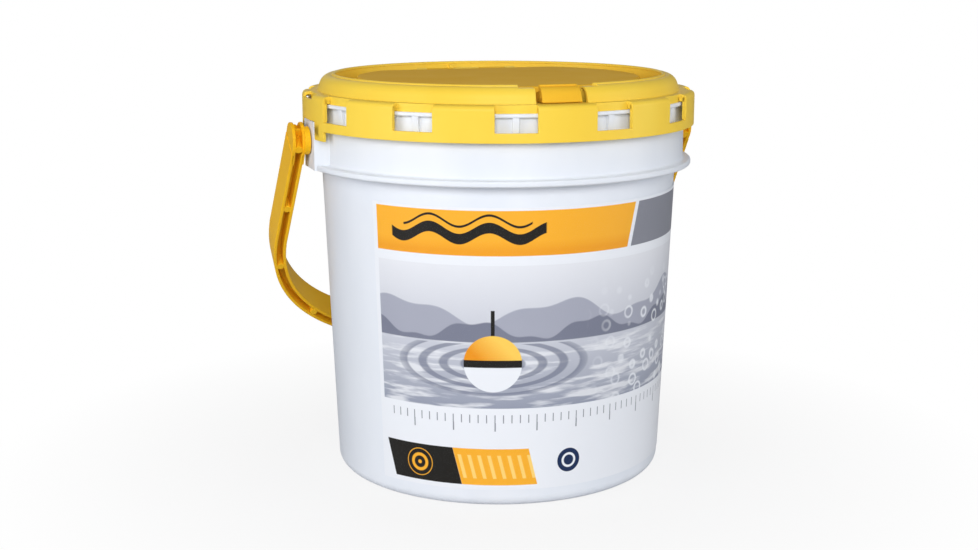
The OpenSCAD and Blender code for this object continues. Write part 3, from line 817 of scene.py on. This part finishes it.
# %% Pivot ends, studs and ribs
def end_wall(side, offset):
    """A flat end, rounded over the strap's full width, as an outline raised across the wall."""
    outline = [(-14, -BACK)] + arc(-2.6, -4, 10.5, -90, 90, 24) + [(-14, FRONT)]
    bm = flat_outline(outline, 0)
    bm = raised(bm, BAIL_WALL)
    bmesh.ops.transform(bm, matrix=Matrix(((0, 0, 1, 0), (1, 0, 0, 0), (0, 1, 0, 0), (0, 0, 0, 1))),
                        verts=bm.verts)
    soften(bm, sharp_edges(bm, 60, lambda p: p.y > -13.5), 0.45)
    bmesh.ops.translate(bm, vec=(BAIL_HALF + offset, 0, 0), verts=bm.verts)
    if side < 0:
        bmesh.ops.scale(bm, vec=(-1, 1, 1), verts=bm.verts)
    return cleaned(bm)


for side in (-1, 1):
    join(bail, end_wall(side, 0), end_wall(side, BAIL_T - BAIL_WALL))
    ends = sorted((side * (BAIL_HALF + 0.5), side * (BAIL_HALF + BAIL_T - 0.5)))
    join(bail, block((ends[0], -8, WEB_BACK), (ends[1], 5.5, WEB_FRONT)))
    for radius, inner in ((4.0, EAR_FACE - 5), (8.5, EAR_FACE + 0.5)):
        low, high = sorted((side * inner, side * (BAIL_HALF + 1)))
        stud = tube(radius, 0, low, high, 0, 0, 48)
        join(bail, soften(stud, sharp_edges(stud, 35), 0.4))


# %% A cross rib with its small round pad
def bail_rib(station, turn):
    bm = block((-BAIL_T / 2 + 0.8, -0.9, -BACK + 0.3), (BAIL_T / 2 - 0.8, 0.9, FRONT - 0.3))
    soften(bm, sharp_edges(bm, 35, lambda p: p.z > 0), 0.3)
    pad = bmesh.new()
    bmesh.ops.create_cone(pad, cap_ends=True, segments=24, radius1=2.6, radius2=2.6, depth=20.6)
    bmesh.ops.translate(pad, vec=(0, 0, -4), verts=pad.verts)
    soften(pad, sharp_edges(pad, 35), 0.35)
    join(bm, pad)
    placed = Matrix.Translation(on_bail(station, BAIL_T / 2)) @ Matrix.Rotation(math.radians(turn), 4, "Z")
    bmesh.ops.transform(bm, matrix=placed, verts=bm.verts)
    return bm


for station in (2 - ARM, 53 - ARM, 180 + ARM - 2, 180 + ARM - 53):
    join(bail, bail_rib(station, 0))
for station in (10.5, 40.5, 66, 90, 114, 139.5, 169.5):
    join(bail, bail_rib(station, -station))

# %% Tilting the bail back until its loop rests by the pail
BAIL_REST = 36.905
hang = Matrix.Translation((0, 0, PIVOT_Z)) @ Matrix.Rotation(math.radians(90 + BAIL_REST), 4, "X")
bmesh.ops.transform(bail, matrix=hang, verts=bail.verts)
finish_piece(bail, "bail_handle", "bail", yellow_bail, ["bail"])

# %% [markdown]
# ## The printed film
# The film wraps a little less than half of the pail. What is printed on the real one is left off,
# and a plain lake scene with a float takes its place. The film is one thin turned wall. Its picture
# is worked out from two numbers at every point: the angle round the pail, and the height.

# %% Where a point lies on the film
FILM_LEFT, FILM_RIGHT, FILM_LOW, FILM_HIGH = -60.0, 84.0, 11.3, 180.8
ORANGE, DEEP_ORANGE, INK = paint(250, 178, 48), paint(238, 150, 26), paint(30, 28, 25)
GREY, PALE, NAVY, WHITE = paint(136, 138, 148), paint(214, 214, 222), paint(24, 44, 84), paint(238, 241, 247)


def film_position(recipe):
    """Millimetres along the film from its left edge, and millimetres of height."""
    x, y, z = (recipe.node("ShaderNodeSeparateXYZ", {0: recipe.place()}, out=i) for i in range(3))
    turn = x.math("ARCTAN2", y * -1)
    return (turn * (180 / math.pi) - FILM_LEFT) * 1.867, z / MM + (8.5 - FILM_LOW)


def wave(along, length, height, shift):
    return (along * (math.tau / length) + shift).math("SINE") * height


# %% The film's picture, painted from back to front
def printed_film():
    recipe = Recipe("printed film")
    along, up = film_position(recipe)
    mix = recipe.mix

    sky = mix(paint(196, 199, 210), paint(232, 234, 240), ((up - 96) / 50).math("MAXIMUM", 0))
    far_hills = up.below(wave(along, 96, 6, 0.4) + wave(along, 41, 2.4, 1.0) + 117, 0.8)
    near_hills = up.below(wave(along, 71, 5, 2.2) + wave(along, 23, 1.3, 0.3) + 106, 0.8)
    picture = mix(mix(sky, paint(168, 171, 186), far_hills), paint(124, 128, 146), near_hills)

    streaks = recipe.noise(16, 3.0, stretch=(0.55, 0.55, 4.0))
    glint = streaks.above(0.56, 0.14)
    water = mix(paint(150, 156, 174), paint(206, 209, 219), (up - 59) / 42)
    water = mix(water, paint(236, 238, 243), glint * 0.8)
    picture = mix(picture, water, up.below(99, 0.5))

    # a float with rings of ripples round it
    across, above = along - 74, up - 86
    rings = (across * across + above * above * 9).math("SQRT")
    ripple = wave(rings, 13, 0.5, 0) + 0.5
    picture = mix(picture, paint(110, 116, 138), ripple.above(0.62, 0.3) * rings.below(58, 10) * up.below(98) * 0.7)
    ball = (across * across + above * above).math("SQRT").below(17, 0.4)
    stem = across.math("ABSOLUTE").below(1.1) * above.between(16, 32)
    shine = (across * 0.7 + above * 0.7).between(4, 30, 16)
    paint_top = mix(DEEP_ORANGE, paint(255, 208, 92), shine)
    float_colour = mix(mix(INK, WHITE, above.below(-2.2)), paint_top, above.above(2.2))
    picture = mix(mix(picture, INK, stem), float_colour, ball)

    # pale bubbles towards the right
    cells = recipe.node("ShaderNodeTexVoronoi", {"Vector": recipe.place(), "Scale": 1 / (11 * MM)}, feature="F1")
    bubbles = cells.between(0.24, 0.36, 0.08) * along.above(150, 40) * up.below(128, 20)
    picture = mix(picture, WHITE, bubbles * 0.85)

    # the orange head with its grey end, and a black wave through it
    ground = mix(WHITE, picture, up.between(59, 144.4) * along.above(3))
    slant = along - up * 0.22
    head = up.between(150, 176.2) * along.above(3)
    band = mix(mix(ORANGE, DEEP_ORANGE, up.below(156, 6) * 0.6), GREY, slant.above(128))
    band = mix(band, WHITE, slant.between(125.5, 128.5))
    crest_line = wave(along, 34, 3.4, 0.8) + 163
    swell = (up - crest_line).math("ABSOLUTE").below(3.1) * along.between(14, 104, 0.6)
    thin = (up - crest_line - 7.2).math("ABSOLUTE").below(0.7) * along.between(22, 96, 0.6)
    ground = mix(ground, mix(mix(band, INK, swell), INK, thin), head)

    # a depth scale of ticks under the picture
    step = (along / 5).math("FRACT")
    long_step = (along / 25).math("FRACT")
    ticks = step.below(0.12, 0.05) * up.between(50, 55) + long_step.below(0.03, 0.01) * up.between(45, 50.1)
    ground = mix(ground, GREY, ticks.math("MINIMUM", 1) * along.between(8, 236))

    # black and orange blocks at the foot, with rings, stripes and a round dot
    foot = up.between(11.4, 34)
    lean = along + up * 0.25
    black = lean.between(13, 58)
    orange = lean.between(58, 104)
    radius = ((along - 28) * (along - 28) + (up - 22.7) * (up - 22.7)).math("SQRT")
    icon = (wave(radius, 4.4, 0.5, 1.2) + 0.5).above(0.6, 0.3) * radius.below(8.6)
    stripes = (lean / 6).math("FRACT").below(0.36, 0.08) * up.between(15.5, 30)
    ground = mix(ground, mix(INK, ORANGE, icon), foot * black)
    ground = mix(ground, mix(ORANGE, paint(255, 214, 120), stripes), foot * orange)
    dot = ((along - 121) * (along - 121) + (up - 24.7) * (up - 24.7)).math("SQRT")
    ground = mix(ground, mix(mix(WHITE, NAVY, dot.below(7.4)), WHITE, dot.between(3.2, 4.6)), dot.below(8.0))

    ink_dots = recipe.noise(0.5, 1.0)
    ground = mix(ground, WHITE, ink_dots.above(0.66, 0.1) * 0.03)
    return recipe.finish(Base_Color=ground, Roughness=0.34 + ink_dots * 0.06, Specular_IOR_Level=0.25,
                         Normal=recipe.bump(recipe.noise(14, 1.0), 0.02))


# %% The film itself
film_material = printed_film()
film_section = [(wall_r(FILM_LOW) + 0.17, FILM_LOW), (wall_r(FILM_LOW) + 0.35, FILM_LOW),
                (wall_r(60) + 0.35, 60), (wall_r(120) + 0.35, 120),
                (wall_r(FILM_HIGH) + 0.35, FILM_HIGH), (wall_r(FILM_HIGH) + 0.17, FILM_HIGH)]
film = turned_part(film_section, FILM_LEFT, FILM_RIGHT, 80)
finish_piece(film, "printed_wrap", "pail", film_material, ["label_film"])

# %% [markdown]
# ## Floor, light and camera
# A bucket photographed for a catalogue stands on white, under large soft lamps. The floor is pale
# and catches only a soft shadow. The world is white where the camera or a refraction looks at it,
# and a plain grey light everywhere else.

# %% The floor
def floor_paper():
    recipe = Recipe("white studio paper")
    fibre = recipe.noise(2.0, 3.0)
    paper = recipe.node("ShaderNodeBsdfPrincipled", {"Base Color": recipe.mix(paint(206, 206, 208), paint(202, 202, 204), fibre),
                                                     "Roughness": 0.9})
    white = recipe.node("ShaderNodeEmission", {"Color": (1, 1, 1, 1), "Strength": 1.0})
    seen = recipe.node("ShaderNodeLightPath", out="Is Camera Ray")
    far = recipe.node("ShaderNodeVectorMath", {0: recipe.place()}, out="Value", operation="LENGTH")
    veil = (far - 0.13).math("MULTIPLY", 5, use_clamp=True) * 0.14 + 0.86
    both = recipe.node("ShaderNodeMixShader", {0: seen * veil, 1: paper, 2: white})
    return recipe.surface(both)


floor_mesh = bmesh.new()
bmesh.ops.create_grid(floor_mesh, x_segments=1, y_segments=1, size=6)
floor_data = bpy.data.meshes.new("floor")
floor_mesh.to_mesh(floor_data)
floor_mesh.free()
floor_data.materials.append(floor_paper())
floor = bpy.data.objects.new("floor", floor_data)
floor.location.z = -0.0002
bpy.context.scene.collection.objects.link(floor)

# %% The world
scene = bpy.context.scene
world = bpy.data.worlds.new("studio")
scene.world = world
world.use_nodes = True
tree = world.node_tree
tree.nodes.clear()
path = tree.nodes.new("ShaderNodeLightPath")
ambient, backdrop = (tree.nodes.new("ShaderNodeBackground") for _ in range(2))
ambient.inputs["Color"].default_value = (0.93, 0.96, 1.0, 1.0)
ambient.inputs["Strength"].default_value = 0.25
backdrop.inputs["Strength"].default_value = 1.0
backdrop.inputs["Color"].default_value = (1, 1, 1, 1)
either = tree.nodes.new("ShaderNodeMath")
either.operation = "MAXIMUM"
blend = tree.nodes.new("ShaderNodeMixShader")
out = tree.nodes.new("ShaderNodeOutputWorld")
tree.links.new(path.outputs["Is Camera Ray"], either.inputs[0])
tree.links.new(path.outputs["Is Transmission Ray"], either.inputs[1])
tree.links.new(either.outputs[0], blend.inputs[0])
tree.links.new(ambient.outputs[0], blend.inputs[1])
tree.links.new(backdrop.outputs[0], blend.inputs[2])
tree.links.new(blend.outputs[0], out.inputs["Surface"])


# %% Soft lamps
def lamp(name, place, target, width, height, power, colour=(1, 1, 1)):
    data = bpy.data.lights.new(name, "AREA")
    data.shape, data.size, data.size_y = "RECTANGLE", width, height
    data.energy, data.color = power, colour
    thing = bpy.data.objects.new(name, data)
    thing.location = place
    aim = Vector(target) - Vector(place)
    thing.rotation_euler = aim.to_track_quat("-Z", "Y").to_euler()
    scene.collection.objects.link(thing)


lamp("key", (-0.6, -1.7, 0.9), (0, 0, 0.22), 1.2, 0.7, 20)
lamp("fill", (1.45, -1.0, 0.5), (0, 0, 0.16), 0.9, 0.8, 8)
lamp("left", (-1.5, -0.45, 0.5), (0, 0, 0.17), 0.7, 0.8, 8)
lamp("back", (0.3, 1.5, 0.8), (0, 0, 0.2), 1.2, 0.8, 1.2)

# %% [markdown]
# The camera stands in front of the pail and a little to its left, 0.31 m above the ground, and looks
# down by about 12 degrees. Its place was solved from the ellipses of rim, base and film.

# %% The camera
FOCAL_PIXELS, FRAME_WIDTH = 1486.0, 978
data = bpy.data.cameras.new("camera")
data.sensor_width, data.sensor_fit = 36.0, "HORIZONTAL"
data.lens = FOCAL_PIXELS * data.sensor_width / FRAME_WIDTH
data.clip_start, data.clip_end = 0.05, 50
camera = bpy.data.objects.new("camera", data)
ahead = Vector((0.30958, 0.92814, -0.20666)).normalized()
rightward = ahead.cross(Vector((0, 0, 1))).normalized()
upward = rightward.cross(ahead)
facing = Matrix((rightward, upward, -ahead)).transposed().to_4x4()
camera.matrix_world = Matrix.Translation((-0.3013, -0.8851, 0.3164)) @ facing
scene.collection.objects.link(camera)
scene.camera = camera
scene.view_settings.view_transform = "Standard"
